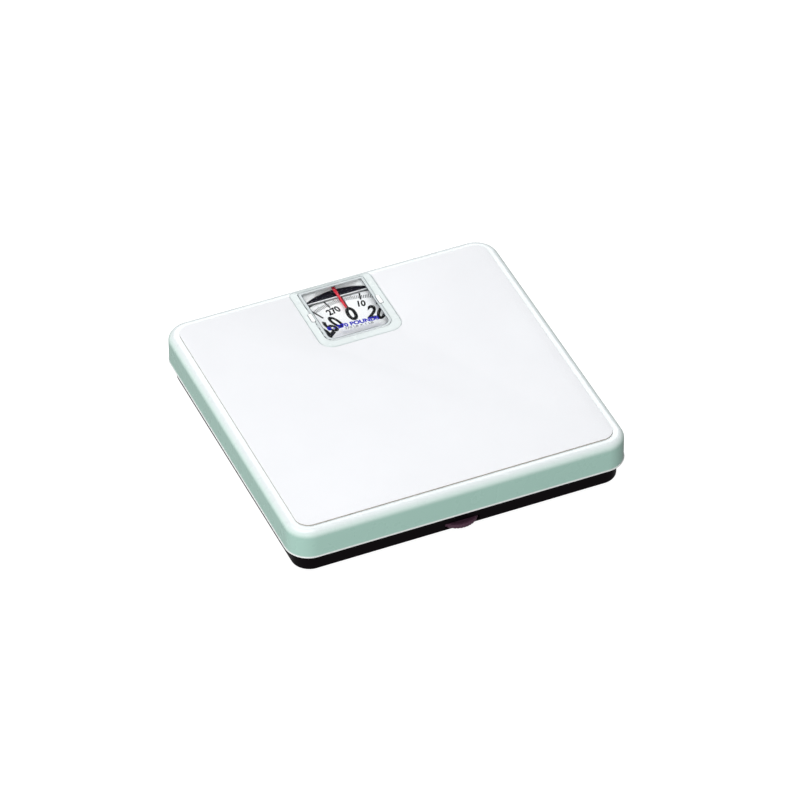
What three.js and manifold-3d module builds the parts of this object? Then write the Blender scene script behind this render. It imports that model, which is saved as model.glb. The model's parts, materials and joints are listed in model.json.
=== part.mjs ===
// A mechanical dial platform scale: a sheet-metal platform stands on four levers, which pull a
// calibrating plate down against a coil spring. A bell crank and a rack turn the plate's travel
// into the turn of a numbered dial, read through a window in the platform.
// Millimetres, +Z up. The origin is the centre of the footprint, on the floor. +Y is the dial side.
import * as THREE from "three";
import { mergeVertices } from "three/addons/utils/BufferGeometryUtils.js";
import Module from "manifold-3d";

const wasm = await Module();
wasm.setup();

// ---------------------------------------------------------------- driving dimensions

const GAP = 0.3; // between pieces that touch
const LIFT = 2.5; // how far the feet hold the height datum above the floor
const FULL_DEGREES = 347.14; // the dial's turn from zero to its last graduation
const FULL_DROP = 5.2; // the calibrating plate's fall at full load

const FOOT = { x: 118, y: 112, radius: 12, height: 3.2, tread: 10 }; // stands below the datum by LIFT

const PAN = {
  width: 288,
  depth: 279,
  bottom: 1,
  rim: 26,
  sheet: 1,
  corner: 16,
  edge: 2.2,
};
const PAN_FLOOR = PAN.bottom + PAN.sheet + 0.2; // where pieces stand on the pan

const COVER = {
  width: 300,
  depth: 291,
  bottom: 19.5,
  top: 45.8,
  sheet: 1,
  corner: 21,
  edge: 5.5,
  hem: 4,
  hemEdge: 2.4,
};
const CEILING = COVER.top - COVER.sheet - GAP; // where pieces hang under the cover

const MAT = { inset: 9.75, thickness: 1, corner: 12, notchHalf: 37.5, notchFront: 59.7, notchCorner: 12 };
const MAT_BOTTOM = COVER.top + 0.2;

// The window's clear opening, between the inner faces of its frame.
const WINDOW = { half: 30, front: 68.4, back: 136.5, frontCorner: 8, backCorner: 2 };
const FRAME = { wall: 1.4, wallBottom: 43.6, flangeHalf: 36.9, flangeFront: 60.3, flangeBack: 139.6, rise: 0.9 };
const LENS = { bottom: 45, top: 46.6 };

const DIAL = { x: 4.5, y: 56.5, radius: 73.5, bottom: 38, top: 38.8 };
const MASK = { half: 36, front: 127, back: 142, arcRadius: 57, arcX: 3.5, arcY: 78.5, bottom: 41.2, top: 42, tab: 3 };
const POINTER_PLATE = { half: 31.5, front: 126, back: 141.5, bottom: 40.2, top: 41 };
const POINTER = { x: 3, tipY: 108, tailY: 141.5, tipHalf: 0.6, tailHalf: 1.6, bottom: 42.3, top: 43.1 };

const SPINDLE = { radius: 1.5, bore: 1.8, bottom: 5.9, top: 39.8 };
const PINION = { teeth: 10, pitch: 3, tip: 3.4, root: 2.4, bottom: 33, top: 36.9, collet: 4.4, colletBottom: 30.1 };
const TOOTH = { tipWidth: 0.3, rootWidth: 0.62 };
const RACK = { back: -7, slotX: -4.5, slotHalf: 2.3, start: -69, end: 81, bottom: 34, top: 35.6 };
const RACK_PITCH_X = DIAL.x - PINION.pitch;
const RACK_TRAVEL = PINION.pitch * THREE.MathUtils.degToRad(FULL_DEGREES);

const BRIDGE = { left: -32, right: 36, front: 36, back: 81, bottom: 28, top: 29.6, corner: 6 };
const BRIDGE_POSTS = [
  [-26, 42],
  [30, 42],
  [25, 75],
];
const POST_RADIUS = 3;

const PIN = { radius: 1.8, z: 23.3, half: 8.5 };
const LEVER = { thickness: 2.5, bottom: 18.3, top: 28.3 };
const LONG_LEVER = { from: [108, 104], to: [12, -103], fulcrumY: 100, loadY: 80 };
const SHORT_LEVER = { from: [108, -99], to: [66, 5], fulcrumY: -95, loadY: -75 };
const LEVER_REST = { x0: 59, x1: 72, y0: -2, y1: 7, bottom: 16.3, top: 18 };
const EAR = { inner: 5.25, thickness: 1.5, half: 7, tipHalf: 5 };

const SPRING_AXIS_Y = -100;
const PLATE = { half: 22, front: -108, back: -88, bottom: 16, top: 18 };
const TONGUE = { half: 3, end: -79.6 };
const MAIN_SPRING = { mean: 7, wire: 1, turns: 5, bottom: 18.3, top: 38.9 };

const CRANK = { x: RACK.slotX, y: -74, z: 11.8, shortArm: 7, longArm: 26.2, hub: 3, pin: 1.5, halfWidth: 2.5 };
const CRANK_LEAN = Math.asin(FULL_DROP / 2 / CRANK.shortArm);

const WHEEL = {
  y: -127.2,
  radius: 18,
  bottom: 4,
  top: 8,
  bore: 3.3,
  hub: 6,
  knurls: 40,
  knurlDepth: 0.5,
};
const WHEEL_SLOT = { half: 15.5, bottom: WHEEL.bottom - GAP, top: WHEEL.top + GAP };
const WHEEL_BRIDGE = { half: 21.7, leg: 1.7, width: 12, bottom: 8.4, top: 9.4 };
const YOKE = { half: 26, bar: 2, stem: 3, stemBottom: 4.3, low: 16.4, top: 42, strip: 8 };

const HAIRSPRING = { inner: 5.2, outer: 12, turns: 3.5, strip: 0.4, bottom: 30.6, top: 32 };
const HOLD_SPRING = { x: 122, mean: 3.5, wire: 0.5, turns: 8, bottom: 2.9, top: 43.2 };

// ---------------------------------------------------------------- finishes

const FINISHES = {
  mintEnamel: { color: 0xb8dbd0, roughness: 0.35, metalness: 0.1 },
  whiteVinyl: { color: 0xf2f3f5, roughness: 0.75, metalness: 0 },
  blackEnamel: { color: 0x0c0c0d, roughness: 0.25, metalness: 0.1 },
  zincSteel: { color: 0xb4b6b8, roughness: 0.4, metalness: 0.9 },
  springSteel: { color: 0x8a8d90, roughness: 0.3, metalness: 1 },
  brass: { color: 0xc8a24c, roughness: 0.35, metalness: 1 },
  clearLens: { color: 0xffffff, roughness: 0.05, metalness: 0, transparent: true, opacity: 0.25 },
  dialWhite: { color: 0xf4f4f2, roughness: 0.6, metalness: 0 },
  maskGrey: { color: 0xc9ccce, roughness: 0.6, metalness: 0 },
  plateBlack: { color: 0x101010, roughness: 0.6, metalness: 0 },
  pointerRed: { color: 0xc8202c, roughness: 0.4, metalness: 0 },
  wheelPlastic: { color: 0x62434f, roughness: 0.5, metalness: 0 },
  footRubber: { color: 0x1c1c1c, roughness: 0.9, metalness: 0 },
};

function finish(name) {
  return new THREE.MeshStandardMaterial(FINISHES[name]);
}

// ---------------------------------------------------------------- outlines and solids

// A rectangle between two corners, with one radius at the front and one at the back.
function panel(x0, x1, y0, y1, frontRadius = 0, backRadius = frontRadius) {
  const outline = new THREE.Shape();
  const corner = (x, y, radius, quarter) => {
    const start = (quarter * Math.PI) / 2;
    if (radius > 0) outline.absarc(x, y, radius, start, start + Math.PI / 2);
    else if (outline.curves.length || outline.currentPoint.length()) outline.lineTo(x, y);
    else outline.moveTo(x, y);
  };
  corner(x1 - backRadius, y1 - backRadius, backRadius, 0);
  corner(x0 + backRadius, y1 - backRadius, backRadius, 1);
  corner(x0 + frontRadius, y0 + frontRadius, frontRadius, 2);
  corner(x1 - frontRadius, y0 + frontRadius, frontRadius, 3);
  outline.closePath();
  return outline;
}

function centred(width, depth, radius) {
  return panel(-width / 2, width / 2, -depth / 2, depth / 2, radius);
}

function disc(x, y, radius) {
  return new THREE.Shape().absarc(x, y, radius, 0, 2 * Math.PI);
}

function polygon(points) {
  return new THREE.Shape(points.map(([x, y]) => new THREE.Vector2(x, y)));
}

// An outline in the XY plane, raised from z0 to z1.
function prism(outline, z0, z1, curveSegments = 6) {
  const geometry = new THREE.ExtrudeGeometry(outline, { depth: z1 - z0, bevelEnabled: false, curveSegments });
  return geometry.translate(0, 0, z0);
}

// The same, with both rims rounded inside the outline.
function softPrism(outline, z0, z1, edge, curveSegments = 4) {
  const geometry = new THREE.ExtrudeGeometry(outline, {
    depth: z1 - z0 - 2 * edge,
    bevelThickness: edge,
    bevelSize: edge,
    bevelOffset: -edge,
    bevelSegments: 3,
    curveSegments,
  });
  return geometry.translate(0, 0, z0 + edge);
}

// An outline drawn in Y and Z, extruded along X from x0 to x1.
function sidePrism(outline, x0, x1, curveSegments = 6) {
  const turn = new THREE.Matrix4().makeBasis(
    new THREE.Vector3(0, 1, 0),
    new THREE.Vector3(0, 0, 1),
    new THREE.Vector3(1, 0, 0),
  );
  return prism(outline, x0, x1, curveSegments).applyMatrix4(turn);
}

function box(x0, x1, y0, y1, z0, z1) {
  const geometry = new THREE.BoxGeometry(x1 - x0, y1 - y0, z1 - z0);
  return geometry.translate((x0 + x1) / 2, (y0 + y1) / 2, (z0 + z1) / 2);
}

// A turned piece about the Z axis, from [radius, z] pairs that start and end on the axis or close.
function turned(profile, segments = 20) {
  const points = profile.map(([radius, z]) => new THREE.Vector2(radius, z));
  return new THREE.LatheGeometry(points, segments).rotateX(Math.PI / 2);
}

function toSolid(geometry) {
  const bare = geometry.clone();
  bare.deleteAttribute("normal");
  bare.deleteAttribute("uv");
  const merged = mergeVertices(bare, 1e-4);
  const corners = merged.index.array;
  const kept = [];
  for (let i = 0; i < corners.length; i += 3) {
    const [a, b, c] = corners.slice(i, i + 3);
    if (a !== b && b !== c && c !== a) kept.push(a, b, c);
  }
  const mesh = new wasm.Mesh({
    numProp: 3,
    vertProperties: Float32Array.from(merged.attributes.position.array),
    triVerts: Uint32Array.from(kept),
  });
  return new wasm.Manifold(mesh);
}

function toGeometry(solid) {
  const mesh = solid.getMesh();
  const geometry = new THREE.BufferGeometry();
  geometry.setAttribute("position", new THREE.BufferAttribute(mesh.vertProperties, 3));
  geometry.setIndex(new THREE.BufferAttribute(mesh.triVerts, 1));
  geometry.computeVertexNormals();
  return geometry;
}

function join(first, ...others) {
  return toGeometry(others.reduce((solid, piece) => solid.add(toSolid(piece)), toSolid(first)));
}

function cut(first, ...tools) {
  return toGeometry(tools.reduce((solid, tool) => solid.subtract(toSolid(tool)), toSolid(first)));
}

function overlap(first, second) {
  return toGeometry(toSolid(first).intersect(toSolid(second)));
}

class Helix extends THREE.Curve {
  constructor(radius, z0, z1, turns) {
    super();
    Object.assign(this, { radius, z0, z1, turns });
  }

  getPoint(t, target = new THREE.Vector3()) {
    const angle = 2 * Math.PI * this.turns * t;
    const z = THREE.MathUtils.lerp(this.z0, this.z1, t);
    return target.set(this.radius * Math.cos(angle), this.radius * Math.sin(angle), z);
  }
}

function coil(spring, steps, sides) {
  const path = new Helix(spring.mean, spring.bottom + spring.wire, spring.top - spring.wire, spring.turns);
  return new THREE.ExtrudeGeometry(disc(0, 0, spring.wire), {
    extrudePath: path,
    steps: steps * spring.turns,
    curveSegments: sides,
  });
}

// ---------------------------------------------------------------- groups, one for each body

const scale = new THREE.Group();

function body() {
  const group = new THREE.Group();
  scale.add(group);
  return group;
}

function place(group, name, geometry, finishName, x = 0, y = 0, z = 0) {
  const mesh = new THREE.Mesh(geometry, finish(finishName));
  mesh.name = name;
  mesh.position.set(x, y, z);
  group.add(mesh);
}

// ---------------------------------------------------------------- base

function panGeometry() {
  const outside = centred(PAN.width, PAN.depth, PAN.corner);
  const inside = centred(PAN.width - 2 * PAN.sheet, PAN.depth - 2 * PAN.sheet, PAN.corner - PAN.sheet);
  const above = PAN.rim + 2 * PAN.edge;
  return cut(
    softPrism(outside, PAN.bottom, above, PAN.edge),
    softPrism(inside, PAN.bottom + PAN.sheet, above + PAN.edge, PAN.edge - PAN.sheet),
    box(-PAN.width, PAN.width, -PAN.depth, PAN.depth, PAN.rim, above + 2 * PAN.edge),
    wheelSlot(),
  );
}

function wheelSlot() {
  const wall = -PAN.depth / 2;
  return box(-WHEEL_SLOT.half, WHEEL_SLOT.half, wall - 1, wall + 2, WHEEL_SLOT.bottom, WHEEL_SLOT.top);
}

function footGeometry() {
  return turned([
    [0, 0],
    [FOOT.tread, 0],
    [FOOT.radius - 0.4, 0.6],
    [FOOT.radius, 1.6],
    [FOOT.radius - 0.5, FOOT.height],
    [0, FOOT.height],
  ]);
}

// A notch that is open at one end and round at the other, for a pin lying along X.
function pinNotch(y, z, openTo) {
  const clear = PIN.radius + GAP;
  const channel = box(-20, 20, y - clear, y + clear, Math.min(z, openTo), Math.max(z, openTo));
  return join(channel, sidePrism(disc(y, z, clear), -20, 20));
}

// Two ears across X, joined by a web, with notches for the pin in both. The web is at webZ and
// the ears' tips at tipZ, above it for a bracket that stands and below it for one that hangs.
function earBracket(webZ, tipZ) {
  const away = Math.sign(tipZ - webZ);
  const ear = polygon([
    [-EAR.half, webZ],
    [EAR.half, webZ],
    [EAR.tipHalf, tipZ],
    [-EAR.tipHalf, tipZ],
  ]);
  const outer = EAR.inner + EAR.thickness;
  const webTop = webZ + away * EAR.thickness;
  const web = box(-outer, outer, -EAR.half, EAR.half, Math.min(webZ, webTop), Math.max(webZ, webTop));
  const shape = join(web, sidePrism(ear, -outer, -EAR.inner), sidePrism(ear, EAR.inner, outer));
  return cut(shape, pinNotch(0, PIN.z, tipZ + 5 * away));
}

function crankBracketGeometry() {
  const halfIn = CRANK.halfWidth + 0.75;
  const halfOut = halfIn + EAR.thickness;
  const ear = polygon([
    [-5, PAN_FLOOR],
    [5, PAN_FLOOR],
    [3.2, CRANK.z + 2.6],
    [-3.2, CRANK.z + 2.6],
  ]);
  const shape = join(
    box(-halfOut, halfOut, -5, 5, PAN_FLOOR, PAN_FLOOR + 1),
    sidePrism(ear, -halfOut, -halfIn),
    sidePrism(ear, halfIn, halfOut),
  );
  return cut(shape, sidePrism(disc(0, CRANK.z, CRANK.pin + GAP), -halfOut - 1, halfOut + 1));
}

function wheelBridgeGeometry() {
  const { half, leg, width, bottom, top } = WHEEL_BRIDGE;
  const y0 = WHEEL.y - width / 2;
  const y1 = WHEEL.y + width / 2;
  const shape = join(
    box(-half, half, y0, y1, bottom, top),
    box(-half, -half + leg, y0, y1, PAN_FLOOR, top),
    box(half - leg, half, y0, y1, PAN_FLOOR, top),
  );
  return cut(shape, prism(disc(0, WHEEL.y, YOKE.stem + 2 * GAP), bottom - 1, top + 1));
}

function dialBridgeGeometry() {
  const { left, right, front, back, bottom, top, corner } = BRIDGE;
  const outline = panel(left, right, front, back, corner);
  outline.holes.push(disc(DIAL.x, DIAL.y, SPINDLE.bore));
  return prism(outline, bottom, top, 4);
}

function spindleBushGeometry() {
  const { bore } = SPINDLE;
  return turned([
    [0, PAN_FLOOR],
    [8, PAN_FLOOR],
    [8, PAN_FLOOR + 1.2],
    [4.5, PAN_FLOOR + 1.2],
    [4.5, PAN_FLOOR + 5],
    [bore, PAN_FLOOR + 5],
    [bore, SPINDLE.bottom - GAP],
    [0, SPINDLE.bottom - GAP],
  ]);
}

function rackGuideGeometry() {
  const y0 = 72;
  const y1 = 80;
  const inner = RACK_PITCH_X + 0.4 + GAP;
  const floor = BRIDGE.top + 0.2;
  return join(
    box(RACK.back - 3.5, inner + 1.8, y0, y1, floor, RACK.bottom - GAP),
    box(RACK.back - 3.5, RACK.back - GAP, y0, y1, floor, RACK.top + 0.6),
    box(inner, inner + 1.8, y0, y1, floor, RACK.top + 0.6),
  );
}

function hairspringGeometry() {
  const { inner, outer, turns, strip, bottom, top } = HAIRSPRING;
  const steps = 16 * turns;
  const side = (offset) =>
    Array.from({ length: steps + 1 }, (_, i) => {
      const angle = (2 * Math.PI * turns * i) / steps + Math.PI;
      const radius = inner + ((outer - inner) * i) / steps + offset;
      return [radius * Math.cos(angle), radius * Math.sin(angle)];
    });
  return prism(polygon([...side(strip), ...side(0).reverse()]), bottom, top);
}

function buildBase() {
  const base = body();
  place(base, "base_pan", panGeometry(), "blackEnamel");
  for (const [yName, y] of [["front", -FOOT.y], ["rear", FOOT.y]]) {
    for (const [xName, x] of [["left", -FOOT.x], ["right", FOOT.x]]) {
      place(base, `foot_${yName}_${xName}`, footGeometry(), "footRubber", x, y, -LIFT);
    }
  }
  for (const [name, lever] of [["rear", LONG_LEVER], ["front", SHORT_LEVER]]) {
    const x = leverX(lever, lever.fulcrumY);
    const bracket = earBracket(PAN_FLOOR, PIN.z + 1.6);
    place(base, `fulcrum_bracket_${name}_left`, bracket, "zincSteel", -x, lever.fulcrumY);
    place(base, `fulcrum_bracket_${name}_right`, bracket.clone(), "zincSteel", x, lever.fulcrumY);
  }
  const crankReach = CRANK.halfWidth + 3.2;
  place(base, "crank_bracket", crankBracketGeometry(), "zincSteel", CRANK.x, CRANK.y);
  const crankPin = sidePrism(disc(CRANK.y, CRANK.z, CRANK.pin), CRANK.x - crankReach, CRANK.x + crankReach);
  place(base, "crank_pin", crankPin, "zincSteel");
  place(base, "wheel_bridge", wheelBridgeGeometry(), "zincSteel");
  place(base, "dial_bridge", dialBridgeGeometry(), "zincSteel");
  BRIDGE_POSTS.forEach(([x, y], i) => {
    const post = prism(disc(0, 0, POST_RADIUS), PAN_FLOOR, BRIDGE.bottom - 0.2, 6);
    const head = softPrism(disc(0, 0, POST_RADIUS), BRIDGE.top + 0.2, BRIDGE.top + 2.2, 0.6, 6);
    place(base, `bridge_post_${i + 1}`, post, "zincSteel", x, y);
    place(base, `bridge_screw_${i + 1}`, head, "zincSteel", x, y);
  });
  place(base, "spindle_bush", spindleBushGeometry(), "brass", DIAL.x, DIAL.y);
  place(base, "rack_guide", rackGuideGeometry(), "brass");
  place(base, "hairspring", hairspringGeometry(), "springSteel", DIAL.x, DIAL.y);
  const studX = DIAL.x + HAIRSPRING.outer + HAIRSPRING.strip + GAP;
  const stud = box(studX, studX + 4, DIAL.y - 2.5, DIAL.y + 2.5, BRIDGE.top + 0.2, HAIRSPRING.top + 0.8);
  place(base, "hairspring_stud", stud, "brass");
  place(base, "hold_down_spring_left", coil(HOLD_SPRING, 7, 2), "springSteel", -HOLD_SPRING.x);
  place(base, "hold_down_spring_right", coil(HOLD_SPRING, 7, 2), "springSteel", HOLD_SPRING.x);
}

// ---------------------------------------------------------------- platform

function coverGeometry() {
  const { width, depth, bottom, top, sheet, corner, edge, hem, hemEdge } = COVER;
  const outside = centred(width, depth, corner);
  const inset = (by) => centred(width - 2 * by, depth - 2 * by, corner - by);
  const shell = overlap(
    softPrism(outside, bottom - 2 * edge, top, edge),
    softPrism(outside, bottom, top + 2 * edge, hemEdge),
  );
  const wall = FRAME.wall + GAP;
  return cut(
    shell,
    softPrism(inset(sheet), bottom + sheet, top - sheet, edge - sheet),
    prism(inset(hem), bottom - 1, bottom + edge, 4),
    prism(windowOutline(wall), bottom, top + 1),
  );
}

// The window's opening, grown on every side.
function windowOutline(grow) {
  const { half, front, back, frontCorner, backCorner } = WINDOW;
  return panel(-half - grow, half + grow, front - grow, back + grow, frontCorner + grow, backCorner + grow);
}

function matGeometry() {
  const { inset, thickness, corner, notchHalf, notchFront, notchCorner } = MAT;
  const top = MAT_BOTTOM + thickness;
  const outline = centred(COVER.width - 2 * inset, COVER.depth - 2 * inset, corner);
  const notch = panel(-notchHalf, notchHalf, notchFront, COVER.depth, notchCorner, 1);
  return cut(prism(outline, MAT_BOTTOM, top), prism(notch, MAT_BOTTOM - 1, top + 1));
}

function windowFrameGeometry() {
  const { wall, wallBottom, flangeHalf, flangeFront, flangeBack, rise } = FRAME;
  const top = MAT_BOTTOM + rise;
  const flange = panel(-flangeHalf, flangeHalf, flangeFront, flangeBack, 11.5, 4);
  const ring = join(prism(flange, MAT_BOTTOM, top), prism(windowOutline(wall), wallBottom, top));
  return cut(ring, prism(windowOutline(0), wallBottom - 1, top + 1));
}

function dialMaskGeometry() {
  const { half, front, back, arcRadius, arcX, arcY, bottom, top, tab } = MASK;
  const shape = join(
    prism(panel(-half, half, front, back), bottom, top),
    box(-half, -half + tab, front, back - 4, bottom, CEILING),
    box(half - tab, half, front, back - 4, bottom, CEILING),
  );
  return cut(shape, prism(disc(arcX, arcY, arcRadius), bottom - 1, CEILING + 1, 36));
}

function pointerGeometry() {
  const { tipY, tailY, tipHalf, tailHalf, bottom, top } = POINTER;
  const outline = polygon([
    [-tailHalf, tailY],
    [-tipHalf, tipY],
    [tipHalf, tipY],
    [tailHalf, tailY],
  ]);
  return prism(outline, bottom, top);
}

function buildPlatform() {
  const platform = body();
  place(platform, "platform_cover", coverGeometry(), "mintEnamel");
  place(platform, "platform_mat", matGeometry(), "whiteVinyl");
  place(platform, "window_frame", windowFrameGeometry(), "mintEnamel");
  place(platform, "window_lens", prism(windowOutline(-GAP), LENS.bottom, LENS.top), "clearLens");
  place(platform, "dial_mask", dialMaskGeometry(), "maskGrey");
  const { half, front, back, bottom, top } = POINTER_PLATE;
  place(platform, "pointer_plate", prism(panel(-half, half, front, back), bottom, top), "plateBlack");
  place(platform, "pointer", pointerGeometry(), "pointerRed", POINTER.x);
  for (const [name, lever] of [["rear", LONG_LEVER], ["front", SHORT_LEVER]]) {
    const x = leverX(lever, lever.loadY);
    const bracket = earBracket(CEILING, PIN.z - 1.6);
    place(platform, `load_bracket_${name}_left`, bracket, "zincSteel", -x, lever.loadY);
    place(platform, `load_bracket_${name}_right`, bracket.clone(), "zincSteel", x, lever.loadY);
  }
}

// ---------------------------------------------------------------- levers

// Where a lever's centre line crosses the given y, on the right-hand side.
function leverX(lever, y) {
  const [x0, y0] = lever.from;
  const [x1, y1] = lever.to;
  return x0 + ((x1 - x0) * (y - y0)) / (y1 - y0);
}

function leverBar(lever, side) {
  const [x0, y0] = lever.from;
  const [x1, y1] = lever.to;
  const length = Math.hypot(x1 - x0, y1 - y0);
  const half = LEVER.thickness / 2;
  const bar = prism(panel(0, length, -half, half, 0.6), LEVER.bottom, LEVER.top, 2);
  bar.rotateZ(Math.atan2(y1 - y0, side * (x1 - x0))).translate(side * x0, y0, 0);
  const clear = PIN.radius + GAP;
  const holes = [lever.fulcrumY, lever.loadY].map((y) => {
    const x = side * leverX(lever, y);
    return sidePrism(disc(y, PIN.z, clear), x - 10, x + 10, 6);
  });
  return cut(bar, ...holes);
}

// The long lever carries a step at mid-length, on which the short lever's tip rests.
function longLeverGeometry(side) {
  const { x0, x1, y0, y1, bottom, top } = LEVER_REST;
  const [left, right] = side > 0 ? [x0, x1] : [-x1, -x0];
  const inner = x0 + 3;
  const [stemLeft, stemRight] = side > 0 ? [x0, inner] : [-inner, -x0];
  return join(
    leverBar(LONG_LEVER, side),
    box(left, right, y0, y1, bottom, top),
    box(stemLeft, stemRight, y0 + 2, y1 - 2, bottom, LEVER.bottom + 2),
  );
}

function pinGeometry() {
  return sidePrism(disc(0, 0, PIN.radius), -PIN.half, PIN.half, 6);
}

function buildLever(name, geometry, lever, side, sideName) {
  const group = body();
  place(group, `${name}_lever_${sideName}`, geometry, "zincSteel");
  for (const [pinName, y] of [["fulcrum", lever.fulcrumY], ["load", lever.loadY]]) {
    const x = side * leverX(lever, y);
    place(group, `${name}_${pinName}_pin_${sideName}`, pinGeometry(), "springSteel", x, y, PIN.z);
  }
}

function buildLevers() {
  for (const [sideName, side] of [["left", -1], ["right", 1]]) {
    buildLever("long", longLeverGeometry(side), LONG_LEVER, side, sideName);
    buildLever("short", leverBar(SHORT_LEVER, side), SHORT_LEVER, side, sideName);
  }
}

// ---------------------------------------------------------------- calibrating plate and its spring

function buildPlate() {
  const plate = body();
  const { half, front, back, bottom, top } = PLATE;
  const outline = join(
    prism(panel(-half, half, front, back, 4), bottom, top),
    box(CRANK.x - TONGUE.half, CRANK.x + TONGUE.half, back - 2, TONGUE.end, bottom, top),
  );
  place(plate, "calibration_plate", outline, "zincSteel");
  place(plate, "main_spring", coil(MAIN_SPRING, 14, 3), "springSteel", 0, SPRING_AXIS_Y);
}

// ---------------------------------------------------------------- bell crank and rack

// Seen from the side, in Y and Z about the pivot: the short arm points to the front under the
// plate's tongue, and the long arm stands up through the rack. Both lean back at zero load.
function bellCrankGeometry() {
  const { x, y, z, shortArm, longArm, hub, pin, halfWidth } = CRANK;
  const rollerRadius = 1.3;
  const armHalf = 0.7;
  const shortBar = box(x - 1.5, x + 1.5, -shortArm, 0, -armHalf, armHalf);
  const longBar = box(x - 1, x + 1, -1, 1, 0, longArm);
  shortBar.rotateX(-CRANK_LEAN);
  longBar.rotateX(-CRANK_LEAN);
  const rollerY = -shortArm * Math.cos(CRANK_LEAN);
  const rollerZ = shortArm * Math.sin(CRANK_LEAN);
  const shape = join(
    sidePrism(disc(0, 0, hub), x - halfWidth, x + halfWidth),
    sidePrism(disc(rollerY, rollerZ, rollerRadius), x - halfWidth, x + halfWidth),
    shortBar,
    longBar,
  );
  return cut(shape, sidePrism(disc(0, 0, pin + GAP), x - 5, x + 5)).translate(0, y, z);
}

// One tooth, as points from one foot to the other, along +U from the root to the tip.
function toothPoints(root, tip, centre) {
  const { tipWidth, rootWidth } = TOOTH;
  return [
    [root, centre - rootWidth / 2],
    [tip, centre - tipWidth / 2],
    [tip, centre + tipWidth / 2],
    [root, centre + rootWidth / 2],
  ];
}

function rackGeometry() {
  const { back, slotX, slotHalf, start, end, bottom, top } = RACK;
  const pitch = (2 * Math.PI * PINION.pitch) / PINION.teeth;
  const addendum = PINION.tip - PINION.pitch;
  const root = RACK_PITCH_X - (PINION.pitch - PINION.root);
  const last = Math.ceil(RACK_TRAVEL / pitch) + 2;
  const outline = [
    [back, start],
    [root, start],
  ];
  for (let i = -2; i <= last; i += 1) {
    outline.push(...toothPoints(root, RACK_PITCH_X + addendum, DIAL.y + i * pitch));
  }
  outline.push([root, end], [back, end]);
  const slotY = CRANK.y + (bottom / 2 + top / 2 - CRANK.z) * Math.tan(CRANK_LEAN);
  const slot = panel(slotX - 1.4, slotX + 1.4, slotY - slotHalf, slotY + slotHalf, 0.5);
  return cut(prism(polygon(outline), bottom, top), prism(slot, bottom - 1, top + 1, 2));
}

function pinionGeometry() {
  const { teeth, tip, root, bottom, top, collet, colletBottom } = PINION;
  const outline = [];
  for (let i = 0; i < teeth; i += 1) {
    const angle = (2 * Math.PI * (i + 0.5)) / teeth;
    toothPoints(root, tip, 0).forEach(([u, v]) => {
      outline.push([
        u * Math.cos(angle) - v * Math.sin(angle),
        u * Math.sin(angle) + v * Math.cos(angle),
      ]);
    });
  }
  const shape = join(prism(polygon(outline), bottom, top), prism(disc(0, 0, collet), colletBottom, bottom + 0.1));
  return cut(shape, prism(disc(0, 0, SPINDLE.bore), colletBottom - 1, top + 1));
}

function buildCrankAndRack() {
  place(body(), "bell_crank", bellCrankGeometry(), "zincSteel");
  place(body(), "rack", rackGeometry(), "brass");
}

// ---------------------------------------------------------------- dial

function dialHubGeometry() {
  const { bore } = SPINDLE;
  const neck = 4;
  return turned([
    [bore, PINION.top + GAP],
    [11, PINION.top + GAP],
    [11, DIAL.bottom - 0.2],
    [neck, DIAL.bottom - 0.2],
    [neck, DIAL.top + 1.1],
    [bore, DIAL.top + 1.1],
    [bore, PINION.top + GAP],
  ]);
}

function dialDiscGeometry() {
  const outline = disc(0, 0, DIAL.radius);
  outline.holes.push(disc(0, 0, 4 + GAP));
  return prism(outline, DIAL.bottom, DIAL.top, 24);
}

function buildDial() {
  const dial = body();
  const { x, y } = DIAL;
  place(dial, "spindle", prism(disc(0, 0, SPINDLE.radius), SPINDLE.bottom, SPINDLE.top, 6), "springSteel", x, y);
  place(dial, "pinion", pinionGeometry(), "brass", x, y);
  place(dial, "dial_hub", dialHubGeometry(), "brass", x, y);
  place(dial, "dial_disc", dialDiscGeometry(), "dialWhite", x, y);
  place(dial, "hub_screw", softPrism(disc(0, 0, 3.5), SPINDLE.top + GAP, 41.6, 0.4, 6), "zincSteel", x, y);
}

// ---------------------------------------------------------------- zero adjustment

// A thumbwheel with a knurled rim, on a hub that stands on the pan.
function zeroWheelGeometry() {
  const { radius, bottom, top, bore, hub, knurls, knurlDepth } = WHEEL;
  const rim = Array.from({ length: 2 * knurls }, (_, i) => {
    const angle = (Math.PI * i) / knurls;
    const r = radius - (i % 2 ? knurlDepth : 0);
    return [r * Math.cos(angle), r * Math.sin(angle)];
  });
  const shape = join(prism(polygon(rim), bottom, top), prism(disc(0, 0, hub), PAN_FLOOR, bottom + 1));
  return cut(shape, prism(disc(0, 0, bore), PAN_FLOOR - 1, top + 1));
}

function yokeGeometry() {
  const { half, bar, stem, stemBottom, low, top, strip } = YOKE;
  const front = WHEEL.y - strip / 2;
  const back = SPRING_AXIS_Y + strip / 2;
  const legFront = SPRING_AXIS_Y - strip / 2;
  const side = (x0, x1) => join(
    box(x0, x1, front, back, low, low + bar),
    box(x0, x1, legFront, back, low, top),
  );
  return join(
    box(-half, half, front, front + strip, low, low + bar),
    side(-half, -half + bar),
    side(half - bar, half),
    box(-half, half, legFront, back, top - bar, top),
    prism(disc(0, WHEEL.y, stem), stemBottom, low + bar),
  );
}

function buildZeroAdjustment() {
  place(body(), "zero_wheel", zeroWheelGeometry(), "wheelPlastic", 0, WHEEL.y);
  place(body(), "spring_yoke", yokeGeometry(), "zincSteel");
}

scale.position.z = LIFT;
buildBase();
buildPlatform();
buildLevers();
buildPlate();
buildCrankAndRack();
buildDial();
buildZeroAdjustment();

export default scale;
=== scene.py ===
"""The looks of a mechanical dial platform scale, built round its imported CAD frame.

Lengths are written in millimetres and turned into metres where a mesh is made. The frame gives
the place of every piece: x across the platform, y from the heels to the dial, z up.
"""
import json
import math

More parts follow.
